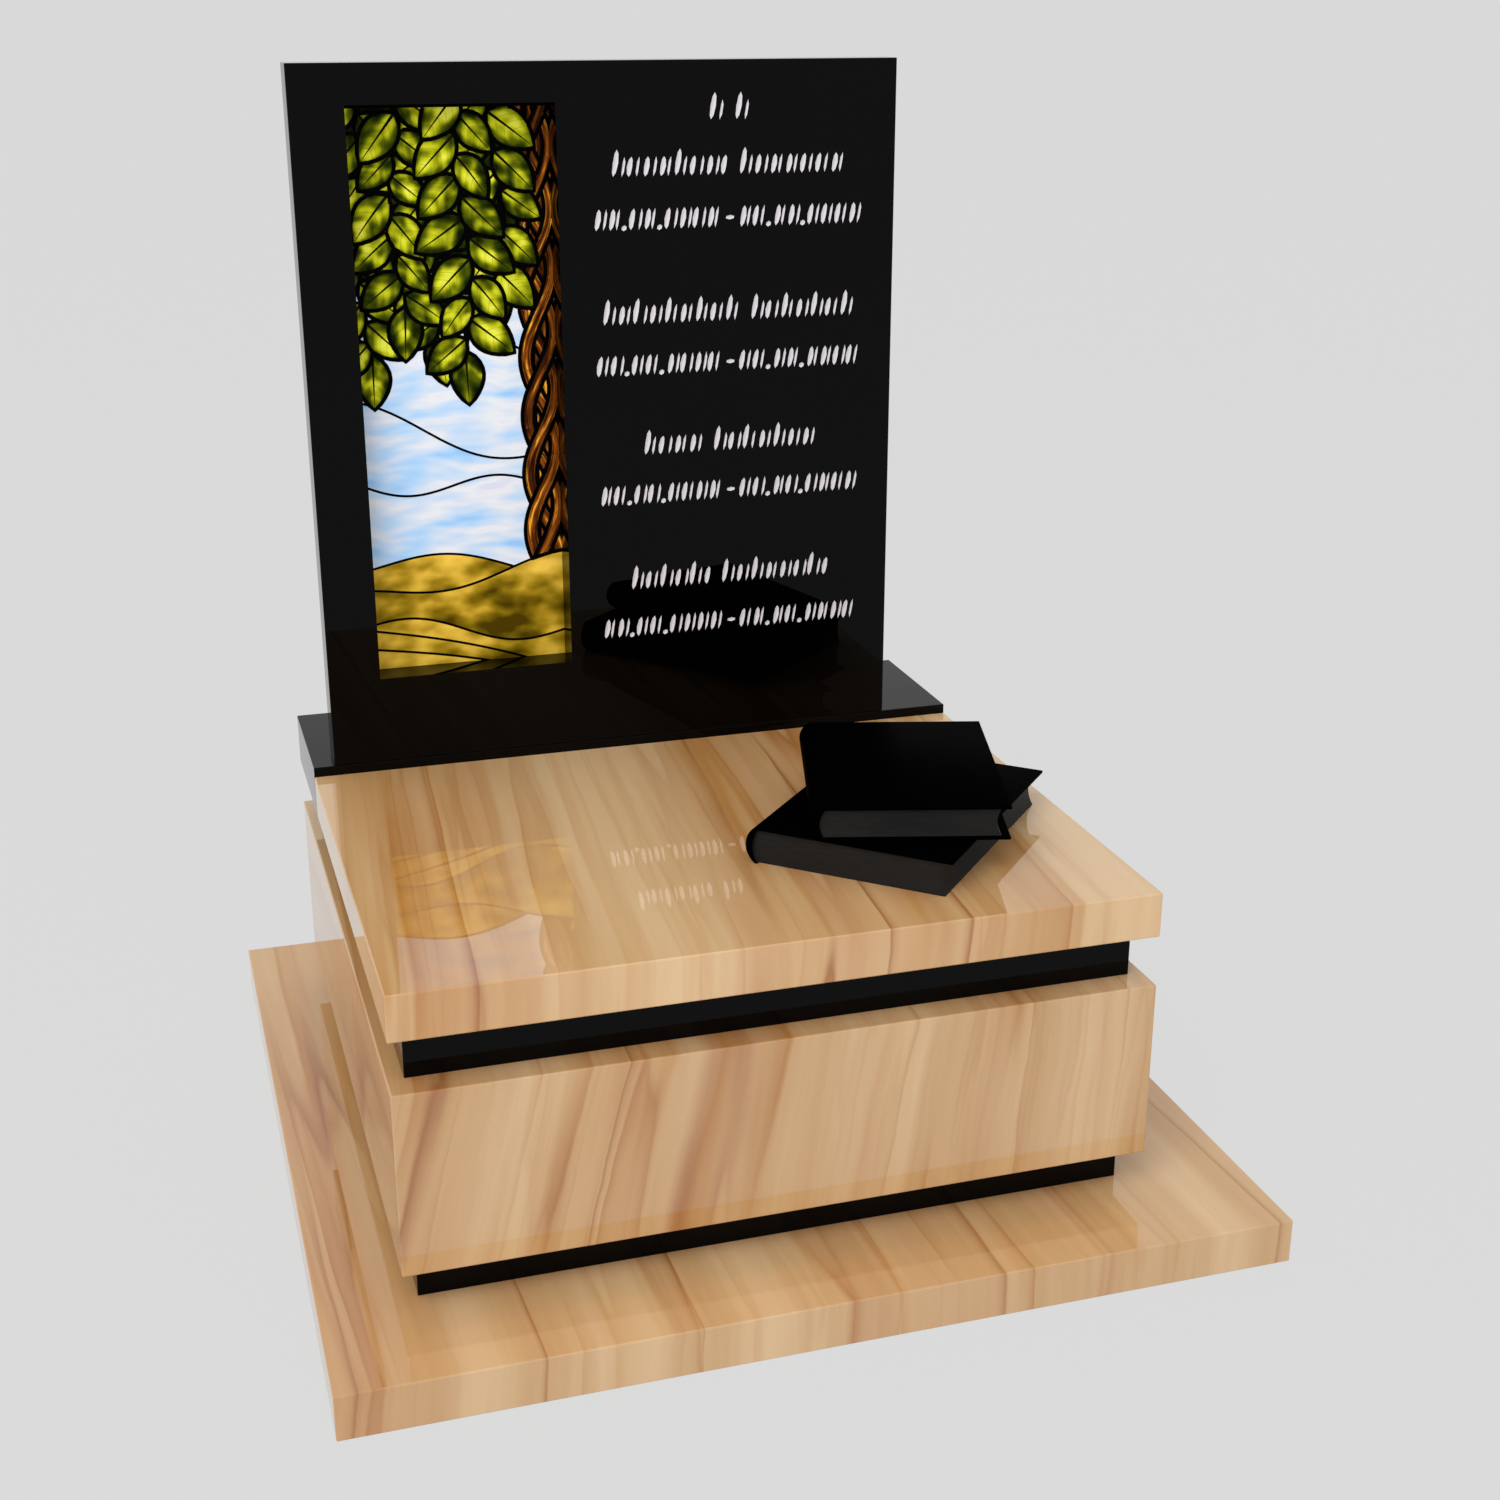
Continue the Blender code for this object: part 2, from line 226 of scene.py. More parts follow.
def makeSandstone(name, drift, lean, fan, middle, slant, veined, light):
    look = sandstone
    cream, beige, tan, blush = [tuple(c * light for c in look[tone])
                                for tone in ("cream", "beige", "tan", "blush")]
    material, tree, shader = newMaterial(name, look["roughness"], look["ior"])
    place, x, y, z = objectPoint(tree)
    tilt = add(tree, times(tree, x, fan), lean)
    across = less(tree, x, times(tree, less(tree, z, middle), tilt))
    across = less(tree, across, times(tree, y, slant))
    for scale, reach in look["bends"]:
        spot = joinPoint(tree, add(tree, times(tree, x, look["bendAlong"]), drift),
                         times(tree, y, look["bendAlong"]), z)
        bend = less(tree, noise(tree, spot, scale, 1.5), 0.5)
        across = add(tree, across, times(tree, bend, reach))

    def layers(seed, stretch=1.0):
        rate = look["along"] * stretch
        return joinPoint(tree, add(tree, across, drift + seed), times(tree, y, rate),
                         times(tree, z, rate * 1.5))

    # broad soft beds, then faint stripes a finger wide
    beds = noise(tree, layers(0.0, 2.0), 7.5, 2.5, 0.5)
    colour = ramp(tree, beds, [(0.37, cream), (0.49, beige), (0.58, beige), (0.69, tan)])
    stripes = noise(tree, layers(2.0), 34.0, 3.0, 0.55)
    colour = blend(tree, times(tree, spread(tree, stripes, 0.47, 0.72), 0.5), colour, tan)
    pale = times(tree, less(tree, 1.0, spread(tree, stripes, 0.28, 0.46)), 0.45)
    colour = blend(tree, pale, colour, cream)
    warm = times(tree, spread(tree, noise(tree, layers(5.0), 13.0, 2.0), 0.50, 0.66), 0.5)
    colour = blend(tree, warm, colour, blush)

    # a vein is sharp on one side and fades on the other; veins gather in the darker beds
    gather = spread(tree, beds, 0.42, 0.60)
    for tint, scale, sharp, soft, strength, outside, seed in look["veins"]:
        field = noise(tree, layers(seed), scale, 2.0, 0.5)
        line = ramp(tree, field, [(0.5 - sharp, grey(0.0)), (0.5, grey(1.0)), (0.5 + sharp, grey(0.7)),
                                  (0.5 + soft * 0.45, grey(0.28)), (0.5 + soft, grey(0.0))])
        fade = spread(tree, noise(tree, layers(seed + 1.0, 5.0), 8.0, 2.0), 0.38, 0.56)
        where = times(tree, add(tree, gather, outside, clamp=True), fade)
        amount = times(tree, times(tree, line, where), min(strength * veined, 1.0))
        colour = blend(tree, amount, colour, look[tint], "MULTIPLY")

    # fine bedding lines and sand grain
    threads = noise(tree, layers(8.0, 2.0), 140.0, 3.0, 0.6)
    shades = ramp(tree, threads, [(0.3, grey(0.43)), (0.7, grey(0.57))])
    colour = blend(tree, look["bedding"], colour, shades, "OVERLAY")
    grains = noise(tree, place, 1100.0, 2.0, 0.7)
    shades = ramp(tree, grains, [(0.3, grey(0.36)), (0.7, grey(0.64))])
    colour = blend(tree, look["grain"], colour, shades, "OVERLAY")
    feed(tree, shader.inputs["Base Color"], colour)
    return material


for nodeName, cut in slabs.items():
    dress(nodes[nodeName], makeSandstone("sandstone of " + nodeName, **cut))
print("sandstone done")


# Black granite, mirror polished; the headstone's cut strokes are painted.

granite = {
    "ground": (0.0002, 0.0002, 0.0002),
    "fleck": (0.0030, 0.0030, 0.0032),
    "roughness": 0.01,
    "ior": 1.2,
    "paint": (0.72, 0.69, 0.73),
    "paintWorn": (0.45, 0.44, 0.47),
    "paintRoughness": 0.5,
    "paintDepth": (0.00012, 0.004),              # depths below the face where paint starts and ends
    "paintField": (-0.09, 0.275, 0.52, 1.18),    # left, right, foot and head
}


def graniteColour(tree, place):
    flecks = spread(tree, noise(tree, place, 1100.0, 2.0, 0.7), 0.56, 0.72)
    clouds = spread(tree, noise(tree, place, 9.0, 3.0), 0.3, 0.7)
    amount = times(tree, flecks, add(tree, times(tree, clouds, 0.5), 0.5))
    return blend(tree, amount, granite["ground"], granite["fleck"])


def makeGranite():
    material, tree, shader = newMaterial("black granite", granite["roughness"], granite["ior"])
    place = objectPoint(tree)[0]
    feed(tree, shader.inputs["Base Color"], graniteColour(tree, place))
    return material


def makePaintedGranite(face):
    material, tree, shader = newMaterial("black granite with painted strokes", granite["roughness"],
                                         granite["ior"])
    place, x, y, z = objectPoint(tree)
    start, end = granite["paintDepth"]
    left, right, low, high = granite["paintField"]
    inside = maths(tree, "GREATER_THAN", y, face + start)
    for test, value, limit in (("LESS_THAN", y, face + end), ("GREATER_THAN", x, left),
                               ("LESS_THAN", x, right), ("GREATER_THAN", z, low), ("LESS_THAN", z, high)):
        inside = times(tree, inside, maths(tree, test, value, limit))
    wear = spread(tree, noise(tree, place, 160.0, 3.0), 0.2, 0.8)
    paint = blend(tree, times(tree, wear, 0.12), granite["paint"], granite["paintWorn"])
    feed(tree, shader.inputs["Base Color"], blend(tree, inside, graniteColour(tree, place), paint))
    rough = times(tree, inside, granite["paintRoughness"] - granite["roughness"])
    feed(tree, shader.inputs["Roughness"], add(tree, rough, granite["roughness"]))
    return material


polished = makeGranite()
for nodeName in ("lower_black_frame", "upper_black_frame", "headstone_plinth"):
    dress(nodes[nodeName], polished)
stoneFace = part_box("headstone")[0].y
dress(nodes["headstone"], makePaintedGranite(stoneFace))
print("granite done")


# Books: the solid's own shape, with cover and page block told apart.

books = {
    "bookCoverLower": {"node": "lower_book", "turn": -42.4, "corner": (0.1636, -0.3494), "length": 0.296},
    "bookCoverUpper": {"node": "upper_book", "turn": -15.7, "corner": (0.2444, -0.3111), "length": 0.271},
}
bookLook = {
    "overhang": 0.0045,       # boards past the page block at head and tail
    "foreEdge": -0.006,       # faces that lie deeper than this in the fore edge are page block
    "softEdge": 0.0006,
    "cover": (0.0003, 0.0003, 0.0003),
    "coverFleck": (0.0016, 0.0016, 0.0016),
    "pages": (0.0142, 0.0138, 0.0135),
}


def makeCover():
    material, tree, shader = newMaterial("honed black granite", 0.45, 1.15)
    shader.inputs["Specular IOR Level"].default_value = 0.01
    place = objectPoint(tree)[0]
    flecks = spread(tree, noise(tree, place, 900.0, 2.0, 0.7), 0.58, 0.75)
    feed(tree, shader.inputs["Base Color"], blend(tree, flecks, bookLook["cover"], bookLook["coverFleck"]))
    addBump(tree, shader, noise(tree, place, 420.0, 3.0), 0.12, 0.0002)
    return material


def makePages():
    material, tree, shader = newMaterial("sawn page block", 0.6, 1.2)
    place, x, y, z = objectPoint(tree)
    flat = joinPoint(tree, times(tree, x, 0.02), times(tree, y, 0.02), z)
    leaves = noise(tree, flat, 1900.0, 2.0, 0.6)
    darker, lighter = [tuple(c * share for c in bookLook["pages"]) for share in (0.8, 1.25)]
    feed(tree, shader.inputs["Base Color"], ramp(tree, leaves, [(0.35, darker), (0.65, lighter)]))
    addBump(tree, shader, leaves, 0.25, 0.0002)
    return material


coverStone = makeCover()
pageStone = makePages()


def dressBook(name, look):
    node = nodes[look["node"]]
    book = node.copy()
    book.data = node.data.copy()
    for key in list(book.keys()):
        del book[key]
    book.parent = None
    book.name = name
    bpy.context.scene.collection.objects.link(book)
    dress(book, coverStone, pageStone)
    editWhole(book)
    bpy.ops.mesh.remove_doubles(threshold=0.00001)
    bpy.ops.mesh.dissolve_limited(angle_limit=math.radians(1.0))
    bpy.ops.object.mode_set(mode="OBJECT")
    toBook = Matrix.Rotation(-math.radians(look["turn"]), 3, "Z")
    corner = Vector((*look["corner"], 0.0))
    for face in book.data.polygons:
        middle = toBook @ (face.center - corner)
        facing = toBook @ face.normal
        head = facing.y < -0.9 and middle.y > bookLook["overhang"] / 2
        tail = facing.y > 0.9 and middle.y < look["length"] - bookLook["overhang"] / 2
        fore = facing.x > 0.2 and middle.x < bookLook["foreEdge"]
        face.material_index = 1 if head or tail or fore else 0
    soften = book.modifiers.new("edges", "BEVEL")
    soften.width = bookLook["softEdge"]
    soften.segments = 2
    soften.limit_method = "ANGLE"
    soften.angle_limit = math.radians(40)
    bpy.ops.object.modifier_apply(modifier=soften.name)
    bpy.ops.object.shade_smooth_by_angle(angle=math.radians(30))
    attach(book, "root")
    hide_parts(look["node"])


for bookName, look in books.items():
    dressBook(bookName, look)
print("books done")


# Leaded glass: strings of leaves over a banded sky, twined stems and low hills.

glass = {
    "seed": 23,
    "lap": 0.008,             # how far the pane reaches into the rebate
    "rim": (-0.0040, 0.0050), # where the lead rim starts inside the opening: hidden but for the head
    "overrun": 0.012,         # stems and strings run on this far outside the opening
    "thickness": 0.004,
    "glow": 0.30,             # painted glow: emission in the glass's own colours, standing in for light that comes through from behind
    "gloss": 0.05,            # share of the usual mirror on glass and lead, which stand deep in the shade
    "leadWide": 0.0026,       # half the width of the lead round leaves and stems
    "leadFine": 0.0016,       # and between the lights of sky and hills
    "leadFlat": 0.35,         # how far a lead stands out, against half its width
    # wavy lines: level at the left, fall to the right, swell, waves and phase
    "skyBands": [(0.400, -0.030, 0.020, 0.9, 0.80), (0.300, -0.055, 0.018, 0.8, 0.25),
                 (0.225, -0.020, 0.014, 1.0, 0.55)],
    "hills": [(0.126, -0.016, 0.015, 0.75, 0.95), (0.090, 0.028, 0.011, 0.85, 0.40),
              (0.050, -0.020, 0.013, 0.95, 0.05)],
    "furrows": [(0.047, -0.066, 0.007, 0.5, 0.0), (0.024, -0.052, 0.006, 0.5, 0.0)],
    "shade": (0.450, 0.02, 0.012, 2.3, 0.3),  # foot of the dark glass behind the leaves
    "shadeRight": 0.190,
    "post": (0.2030, 0.2360), # amber strip behind the stems
    "stems": [(0.0, 0.0150), (2.1, 0.0135), (4.2, 0.0145)],  # phase and width of each twining stem
    "stemLine": 0.2110,       # the line that they twine round
    "stemSway": 0.0165,
    "stemTurn": 0.205,
    # strings of leaves: place along the top, height of the lower end, phase
    "strings": [(0.014, 0.372, 0.0), (0.092, 0.395, 2.2), (0.166, 0.452, 4.0), (0.052, 0.425, 1.1),
                (0.129, 0.372, 3.2)],
    "stringWidth": 0.0044,
    "stringSway": 0.0065,
    "leafLength": 0.063,
    "leafWidth": 0.039,
    "leafStep": 0.0225,
    "leafLean": 47.0,
    "leafSkew": 0.85,         # below 1 the broadest place lies nearer to the stalk
    "leafRound": 0.8,         # below 1 the outline is fuller than a sine
}
paneLow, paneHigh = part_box("stained_glass_panel")
glassLeft = paneLow.x + glass["lap"]
glassFoot = paneLow.z + glass["lap"]
glassWide = paneHigh.x - paneLow.x - 2 * glass["lap"]
glassTall = paneHigh.z - paneLow.z - 2 * glass["lap"]
outer = -glass["lap"]         # the pane's own left side and foot, measured from the opening's corner
outerRight = glassWide + glass["lap"]
outerHead = glassTall + glass["lap"]
rimSide, rimHead = glass["rim"]
stemRun = glassTall + 2 * glass["overrun"]
stringHead = glassTall + glass["overrun"]
chance = random.Random(glass["seed"])
lights = []                   # every light of the picture, later ones in front
ribs = []                     # midribs, cut into the mesh so that the leaves bend truly


def addLight(family, outline, measure, tint=None, group=None):
    # measure gives the two coordinates that a light's glass is painted by
    turn = sum(a[0] * b[1] - b[0] * a[1] for a, b in zip(outline, outline[1:] + outline[:1]))
    if turn < 0:
        outline = outline[::-1]
    lights.append({"family": family, "outline": outline, "measure": measure, "group": group or len(lights),
                   "tint": chance.random() if tint is None else tint})


def rectangle(low, high):
    return [(low[0], low[1]), (high[0], low[1]), (high[0], high[1]), (low[0], high[1])]


def waveLine(level, fall, swell, waves, phase, left, right, steps=40):
    line = []
    for step in range(steps + 1):
        a = left + (right - left) * step / steps
        share = a / glassWide
        line.append((a, level + fall * share + swell * math.sin(2 * math.pi * (share * waves + phase))))
    return line


def underWave(family, level, *shape):
    # all that lies under a wavy line, with a tint that follows from its level
    outline = [(outer, outer), (outerRight, outer)] + waveLine(level, *shape, outer, outerRight)[::-1]
    addLight(family, outline, lambda p: (p[0], p[1] - level), tint=(level * 37.0) % 1.0)


def ribbon(family, centre, width, steps, start=0.0, end=1.0, tint=None, group=None):
    # a band of changing width along a line of points
    leftSide, rightSide, rows = [], [], []
    for step in range(steps + 1):
        share = start + (end - start) * step / steps
        here = Vector(centre(share))
        ahead = Vector(centre(share + 0.002)) - Vector(centre(share - 0.002))
        side = Vector((-ahead.y, ahead.x)).normalized() * width(share) / 2
        leftSide.append(tuple(here + side))
        rightSide.append(tuple(here - side))
        rows.append(here)

    def measure(point):
        spot = Vector(point)
        nearest = min(range(len(rows)), key=lambda k: (rows[k] - spot).length)
        direction = (rows[min(nearest + 1, steps)] - rows[max(nearest - 1, 0)]).normalized()
        away = spot - rows[nearest]
        along = away.dot(direction) + sum((a - b).length for a, b in zip(rows[1:nearest + 1], rows))
        return start * glassTall + along, (away.x * direction.y - away.y * direction.x)

    addLight(family, leftSide + rightSide[::-1], measure, tint, group)


def leaf(place, angle, length, width, bend, count=9):
    heading = Vector((math.cos(angle), math.sin(angle)))
    side = Vector((-heading.y, heading.x))

    def at(u, v):
        return tuple(Vector(place) + heading * u * length + side * (v * width / 2 + bend * length * u * u))

    def half(u):
        return math.sin(math.pi * u ** glass["leafSkew"]) ** glass["leafRound"]

    upper = [at(k / count, half(k / count)) for k in range(1, count)]
    lower = [at(k / count, -half(k / count)) for k in range(count - 1, 0, -1)]
    ribs.append([at(k / count, 0) for k in range(1, count)])

    def measure(point):
        away = Vector(point) - Vector(place)
        u = away.dot(heading) / length
        return u, (away.dot(side) - bend * length * u * u) / (width / 2)

    addLight("leaf", [at(0, 0)] + upper + [at(1, 0)] + lower, measure)


def stemLine(phase):
    def centre(share):
        b = -glass["overrun"] + share * stemRun
        sway = math.sin(2 * math.pi * b / glass["stemTurn"] + phase)
        return glass["stemLine"] + glass["stemSway"] * sway, b
    return centre


def stringLine(place, end, phase):
    # a string of leaves hangs from the head of the pane
    def centre(share):
        b = stringHead - share * (stringHead - end)
        return place + glass["stringSway"] * math.sin(7.0 * share + phase), b
    return centre


def addStems():
    # each stem is cut where it passes from front to back, so that the three twine
    turns = stemRun / glass["stemTurn"]
    pieces = []
    for phase, width in glass["stems"]:
        starts = [0.0] + [(k + 0.25 - phase / math.pi / 2) / turns for k in range(-2, 6)]
        places = starts + [start + 0.5 / turns for start in starts]
        cuts = sorted({min(max(place, 0.0), 1.0) for place in places} | {0.0, 1.0})
        for low, high in zip(cuts, cuts[1:]):
            if high - low > 0.01:
                middle = -glass["overrun"] + (low + high) / 2 * stemRun
                depth = math.cos(2 * math.pi * middle / glass["stemTurn"] + phase)
                pieces.append((depth, low, high, phase, width))
    for depth, low, high, phase, width in sorted(pieces):
        ribbon("stem", stemLine(phase), lambda share, w=width: w * (1.20 - 0.40 * share), 20, low, high,
               phase / 6.0, "stem %.1f" % phase)


def addLeaves():
    for number, string in enumerate(glass["strings"]):
        centre = stringLine(*string)
        count = int((stringHead - string[1]) / glass["leafStep"])
        leaf(centre(1.0), math.radians(-90 + chance.uniform(-8, 8)), glass["leafLength"],
             glass["leafWidth"], 0.0)
        for k in range(count, -1, -1):
            share = k / (count + 0.6)
            sideways = 1 if (k + number) % 2 else -1
            angle = math.radians(-90 + sideways * (glass["leafLean"] + chance.uniform(-10, 10)))
            size = chance.uniform(0.84, 1.10)
            leaf(centre(share), angle, glass["leafLength"] * size, glass["leafWidth"] * size,
                 sideways * chance.uniform(-0.10, 0.04))


def addPicture():
    # from back to front
    shadeRight = glass["shadeRight"]
    postLeft, postRight = glass["post"]
    addLight("lead", rectangle((outer, outer), (outerRight, outerHead)), lambda p: (p[0], p[1]))
    addLight("sky", rectangle((rimSide, rimSide), (glassWide - rimSide, glassTall - rimHead)),
             lambda p: (p[0], p[1] - 0.7))
    for band in glass["skyBands"]:
        underWave("sky", *band)
    shade = waveLine(*glass["shade"], outer, shadeRight) + [(shadeRight, glassTall), (outer, glassTall)]
    addLight("shade", shade, lambda p: (p[0], p[1]))
    addLight("stem", rectangle((postLeft, rimSide), (postRight, glassTall - rimHead)),
             lambda p: (p[1], p[0] - postLeft))
    underWave("hill", *glass["hills"][0])
    addStems()
    for line in glass["hills"][1:] + glass["furrows"]:
        underWave("hill", *line)
    for string in glass["strings"]:
        ribbon("stem", stringLine(*string), lambda share: glass["stringWidth"] * (1.2 - 0.6 * share), 24)
    addLeaves()


addPicture()
print("glass design has", len(lights), "lights")


def cutLights():
    # cuts all outlines against each other; each small triangle belongs to the light in front
    points, rings, ribEdges = [], [], []
    for light in lights:
        first = len(points)
        points += [Vector(p) for p in light["outline"]]
        rings.append(list(range(first, len(points))))
    for rib in ribs:
        first = len(points)
        points += [Vector(p) for p in rib]
        ribEdges += [(k, k + 1) for k in range(first, len(points) - 1)]
    spots, _, triangles, _, _, owners = delaunay_2d_cdt(points, ribEdges, rings, 1, 1e-6)
    kept = []
    for corners, inside in zip(triangles, owners):
        middle = sum((spots[c] for c in corners), Vector((0, 0))) / len(corners)
        within = outer < middle.x < outerRight and outer < middle.y < outerHead
        rimmed = rimSide < middle.x < glassWide - rimSide and rimSide < middle.y < glassTall - rimHead
        if inside and within:
            kept.append((corners, max(inside) if rimmed else 0))
    return spots, kept


def glassMaterial(name, paintGlass):
    material, tree, shader = newMaterial(name, 0.1, 1.2)
    shader.inputs["Specular IOR Level"].default_value = glass["gloss"]
    place = objectPoint(tree)[0]
    chart = tree.nodes.new("ShaderNodeUVMap")
    chart.uv_map = "light"
    parts = tree.nodes.new("ShaderNodeSeparateXYZ")
    tree.links.new(chart.outputs[0], parts.inputs[0])
    own = tree.nodes.new("ShaderNodeAttribute")
    own.attribute_name = "tint"
    colour = paintGlass(tree, place, parts.outputs[0], parts.outputs[1], own.outputs["Fac"])
    feed(tree, shader.inputs["Base Color"], colour)
    # painted glow: the glass emits its own colours as if lit from behind, though no lamp stands there
    feed(tree, shader.inputs["Emission Color"], colour)
    shader.inputs["Emission Strength"].default_value = glass["glow"]
    addBump(tree, shader, noise(tree, place, 55.0, 2.0), 0.25, 0.002)
    return material


def leafGlass(tree, place, u, v, tint):
    # clouded, darker to the outline and both ends, with side veins and a midrib that tapers
    off = maths(tree, "ABSOLUTE", v)
    bow = maths(tree, "POWER", maths(tree, "MAXIMUM", u, 0.001), glass["leafSkew"])
    bow = maths(tree, "SINE", times(tree, bow, math.pi))
    half = maths(tree, "POWER", maths(tree, "MAXIMUM", bow, 0.001), glass["leafRound"])
    share = maths(tree, "DIVIDE", off, maths(tree, "MAXIMUM", half, 0.05))
    own = times(tree, tint, 40.0)
    cloud = noise(tree, joinPoint(tree, times(tree, u, 2.4), v, own), 1.3, 1.0, 0.4)
    veinWave = less(tree, times(tree, u, 6.0), times(tree, maths(tree, "POWER", off, 1.3), 1.7))
    streak = noise(tree, joinPoint(tree, veinWave, times(tree, off, 0.4), own), 0.8, 1.0, 0.4)
    glow = add(tree, times(tree, cloud, 0.95), times(tree, streak, 0.45))
    middle = maths(tree, "ABSOLUTE", less(tree, u, 0.48))
    for shape, amount in ((maths(tree, "POWER", share, 2.0), 0.35), (middle, 0.46)):
        glow = less(tree, glow, times(tree, shape, amount))
    glow = add(tree, glow, times(tree, tint, 0.14))
    colour = ramp(tree, glow, [(0.30, (0.004, 0.007, 0.0004)), (0.44, (0.022, 0.033, 0.001)),
                               (0.56, (0.090, 0.108, 0.002)), (0.66, (0.255, 0.275, 0.005)),
                               (0.76, (0.470, 0.490, 0.010)), (0.89, (0.68, 0.69, 0.06))])
    veinLine = spread(tree, maths(tree, "SINE", times(tree, veinWave, 2 * math.pi)), 0.90, 1.0)
    colour = blend(tree, times(tree, veinLine, 0.35), colour, (0.030, 0.050, 0.002))
    taper = times(tree, less(tree, 1.12, u), 0.080)
    rib = maths(tree, "LESS_THAN", off, taper)
    return blend(tree, rib, colour, (0.004, 0.006, 0.002))


def skyGlass(tree, place, u, v, tint):
    warp = noise(tree, place, 7.0, 2.0)
    height = add(tree, v, times(tree, warp, 0.035))
    flow = joinPoint(tree, times(tree, u, 12.0), 0.0, times(tree, height, 46.0))
    streaks = noise(tree, flow, 0.9, 2.2, 0.5)
    level = add(tree, streaks, times(tree, less(tree, tint, 0.5), 0.06))
    return ramp(tree, level, [(0.30, (0.27, 0.49, 0.80)), (0.40, (0.380, 0.575, 0.815)),
                              (0.50, (0.545, 0.630, 0.760)), (0.60, (0.680, 0.700, 0.735)),
                              (0.70, (0.590, 0.610, 0.735))])


def shadeGlass(tree, place, u, v, tint):
    patches = noise(tree, place, 60.0, 3.0)
    return ramp(tree, patches, [(0.35, (0.001, 0.002, 0.0005)), (0.60, (0.010, 0.016, 0.002))])


def hillGlass(tree, place, u, v, tint):
    patches = noise(tree, joinPoint(tree, times(tree, u, 0.6), 0.0, v), 26.0, 2.5, 0.5)
    level = add(tree, patches, times(tree, less(tree, tint, 0.5), 0.14))
    edge = spread(tree, times(tree, v, -1.0), -0.02, 0.05)
    level = less(tree, level, times(tree, edge, 0.10))
    return ramp(tree, level, [(0.30, (0.060, 0.036, 0.001)), (0.38, (0.165, 0.105, 0.003)),
                              (0.46, (0.330, 0.205, 0.010)), (0.55, (0.590, 0.370, 0.038)),
                              (0.66, (0.78, 0.50, 0.07))])


def stemGlass(tree, place, u, v, tint):
    flow = joinPoint(tree, times(tree, u, 16.0), times(tree, v, 190.0), times(tree, tint, 30.0))
    bark = noise(tree, flow, 1.0, 3.0, 0.6, 0.3)
    colour = ramp(tree, bark, [(0.36, (0.018, 0.004, 0.001)), (0.48, (0.085, 0.022, 0.003)),
                               (0.59, (0.300, 0.082, 0.008)), (0.68, (0.850, 0.400, 0.030))])
    wave = maths(tree, "SINE", add(tree, times(tree, v, 900.0), times(tree, bark, 9.0)))
    lines = spread(tree, wave, 0.80, 0.98)
    return blend(tree, times(tree, lines, 0.8), colour, (0.008, 0.003, 0.001))


def makeLead():
    material, tree, shader = newMaterial("blackened lead", 0.4, 1.2)
    shader.inputs["Specular IOR Level"].default_value = glass["gloss"]
    place = objectPoint(tree)[0]
    wear = noise(tree, place, 220.0, 3.0)
    feed(tree, shader.inputs["Base Color"], ramp(tree, wear, [(0.3, grey(0.0003)), (0.75, grey(0.0020))]))
    addBump(tree, shader, wear, 0.2, 0.0003)
    return material


glassKinds = {
    "lead": makeLead(),
    "sky": glassMaterial("streaky sky glass", skyGlass),
    "shade": glassMaterial("deep green glass", shadeGlass),
    "hill": glassMaterial("mottled gold glass", hillGlass),
    "stem": glassMaterial("amber glass", stemGlass),
    "leaf": glassMaterial("green leaf glass", leafGlass),
}
families = list(glassKinds)


def toWorld(point):
    return glassLeft + point[0], paneLow.y, glassFoot + point[1]


def findSeams(kept):
    # edges between lights: fine lead in the sky and the hills, wide lead elsewhere, none inside a group
    sides = {}
    for corners, light in kept:
        for a, b in zip(corners, list(corners[1:]) + [corners[0]]):
            owners = sides.setdefault((min(a, b), max(a, b)), {})
            owners[lights[light]["group"]] = lights[light]["family"]
    seams = {"leadWide": [], "leadFine": []}
    for edge, owners in sides.items():
        if len(owners) > 1 and "lead" not in owners.values():
            plain = all(family in ("sky", "hill") for family in owners.values())
            seams["leadFine" if plain else "leadWide"].append(edge)
    return seams


def buildGlass(spots, kept):
    mesh = bpy.data.meshes.new("leadedGlass")
    mesh.from_pydata([toWorld(p) for p in spots], [], [corners for corners, light in kept])
    panel = addObject("leadedGlass", mesh)
    dress(panel, *glassKinds.values())
    chart = mesh.uv_layers.new(name="light")
    tint = mesh.attributes.new("tint", "FLOAT", "FACE")
    for face, (corners, light) in zip(mesh.polygons, kept):
        face.material_index = families.index(lights[light]["family"])
        tint.data[face.index].value = lights[light]["tint"]
        for loop in face.loop_indices:
            spot = spots[mesh.loops[loop].vertex_index]
            chart.data[loop].uv = lights[light]["measure"](spot)
    editWhole(panel)
    bpy.ops.mesh.delete_loose()
    bpy.ops.object.mode_set(mode="OBJECT")
    if mesh.polygons[0].normal.y > 0:
        mesh.flip_normals()
    body = panel.modifiers.new("thickness", "SOLIDIFY")
    body.thickness = glass["thickness"]
    body.offset = -1.0
    bpy.ops.object.modifier_apply(modifier=body.name)
    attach(panel, "root")
    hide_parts("stained_glass_panel")


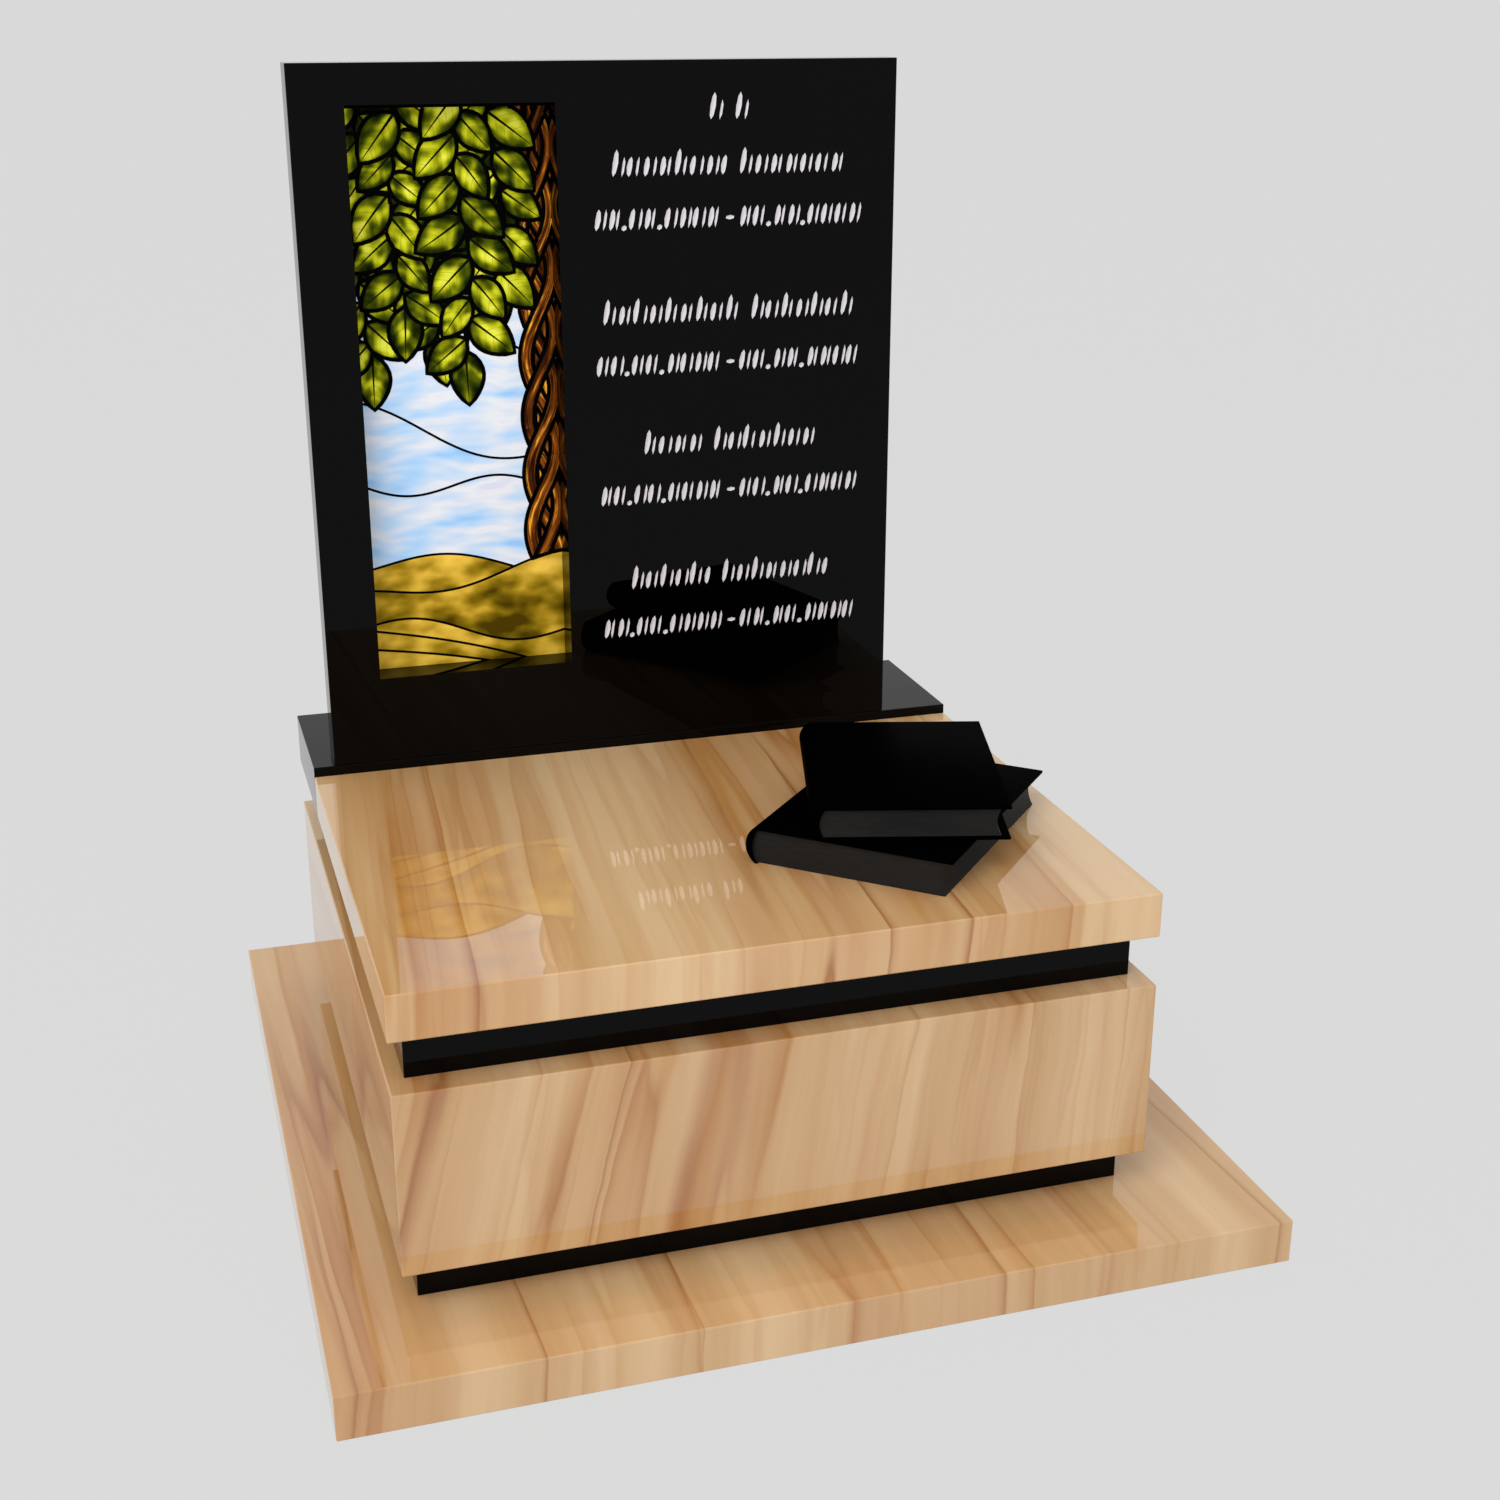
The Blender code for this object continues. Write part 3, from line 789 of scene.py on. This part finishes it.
def buildLead(name, spots, seams):
    # flat bars along the seams, through the pane, so that they show on both faces
    used = sorted({corner for seam in seams for corner in seam})
    order = {corner: k for k, corner in enumerate(used)}
    mesh = bpy.data.meshes.new(name)
    mesh.from_pydata([toWorld(spots[c]) for c in used], [(order[a], order[b]) for a, b in seams], [])
    lines = addObject(name, mesh)
    pick(lines)
    bpy.ops.object.convert(target="CURVE")
    lines.data.bevel_depth = glass[name]
    lines.data.bevel_resolution = 1
    lines.data.use_fill_caps = True
    bpy.ops.object.convert(target="MESH")
    for vertex in lines.data.vertices:
        out = (vertex.co.y - paneLow.y) * glass["leadFlat"]
        vertex.co.y = paneLow.y + out + (glass["thickness"] if out > 0.00001 else 0.0)
    dress(lines, glassKinds["lead"])
    editWhole(lines)
    bpy.ops.mesh.remove_doubles(threshold=0.000001)
    bpy.ops.mesh.normals_make_consistent(inside=False)
    bpy.ops.object.mode_set(mode="OBJECT")
    bpy.ops.object.shade_smooth_by_angle(angle=math.radians(50))
    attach(lines, "root")
    print(name, "has", len(lines.data.polygons), "faces")


glassSpots, glassFaces = cutLights()
buildGlass(glassSpots, glassFaces)
for leadName, seams in findSeams(glassFaces).items():
    buildLead(leadName, glassSpots, seams)
print("glass done")


# Studio: pale floor, even light from all round, one large soft light and the camera.

studio = {
    "grey": 0.701,            # the floor and the room have one brightness
    "floorShare": 0.04,       # how much of the floor's brightness is real light falling on it
    "floorLight": 0.85,       # share of that light which reaches it
    "floorSize": 2000.0,
    "camera": (-0.60676, -2.15117, 1.27204),
    "tilt": (70.01653, 0.0, -17.11065),
    "lens": 50.0,
    "sensor": 36.0,
    "sight": 3000.0,
    "softbox": {"place": (-2.35, -2.92, 3.71), "aim": (0.0, 0.0, 0.4), "size": 3.0, "power": 130.0},
}
bpy.ops.object.select_all(action="DESELECT")
bpy.ops.mesh.primitive_plane_add(size=studio["floorSize"], location=(0, 0, 0))
floor = bpy.context.active_object
floor.name = "studioFloor"
floorMaterial, _, floorShader = newMaterial("pale floor", 1.0)
floorShader.inputs["Specular IOR Level"].default_value = 0.0
floorShader.inputs["Base Color"].default_value = (*grey(studio["floorShare"]), 1.0)
floorShader.inputs["Emission Color"].default_value = (1.0, 1.0, 1.0, 1.0)
floorShader.inputs["Emission Strength"].default_value = (studio["grey"]
                                                         - studio["floorShare"] * studio["floorLight"])
floor.data.materials.append(floorMaterial)

world = bpy.data.worlds.new("studio light")
bpy.context.scene.world = world
world.use_nodes = True
world.node_tree.nodes["Background"].inputs["Color"].default_value = (*grey(studio["grey"]), 1.0)
world.node_tree.nodes["Background"].inputs["Strength"].default_value = 1.0

box = studio["softbox"]
bpy.ops.object.light_add(type="AREA", location=box["place"])
softbox = bpy.context.active_object
softbox.name = "softbox"
softbox.data.size = box["size"]
softbox.data.energy = box["power"]
softbox.rotation_euler = (Vector(box["aim"]) - Vector(box["place"])).to_track_quat("-Z", "Y").to_euler()

bpy.ops.object.camera_add(location=studio["camera"])
camera = bpy.context.active_object
camera.rotation_euler = Euler([math.radians(angle) for angle in studio["tilt"]], "XYZ")
camera.data.lens = studio["lens"]
camera.data.sensor_width = studio["sensor"]
camera.data.clip_end = studio["sight"]
bpy.context.scene.camera = camera
bpy.context.scene.view_settings.view_transform = "Standard"
print("studio done")
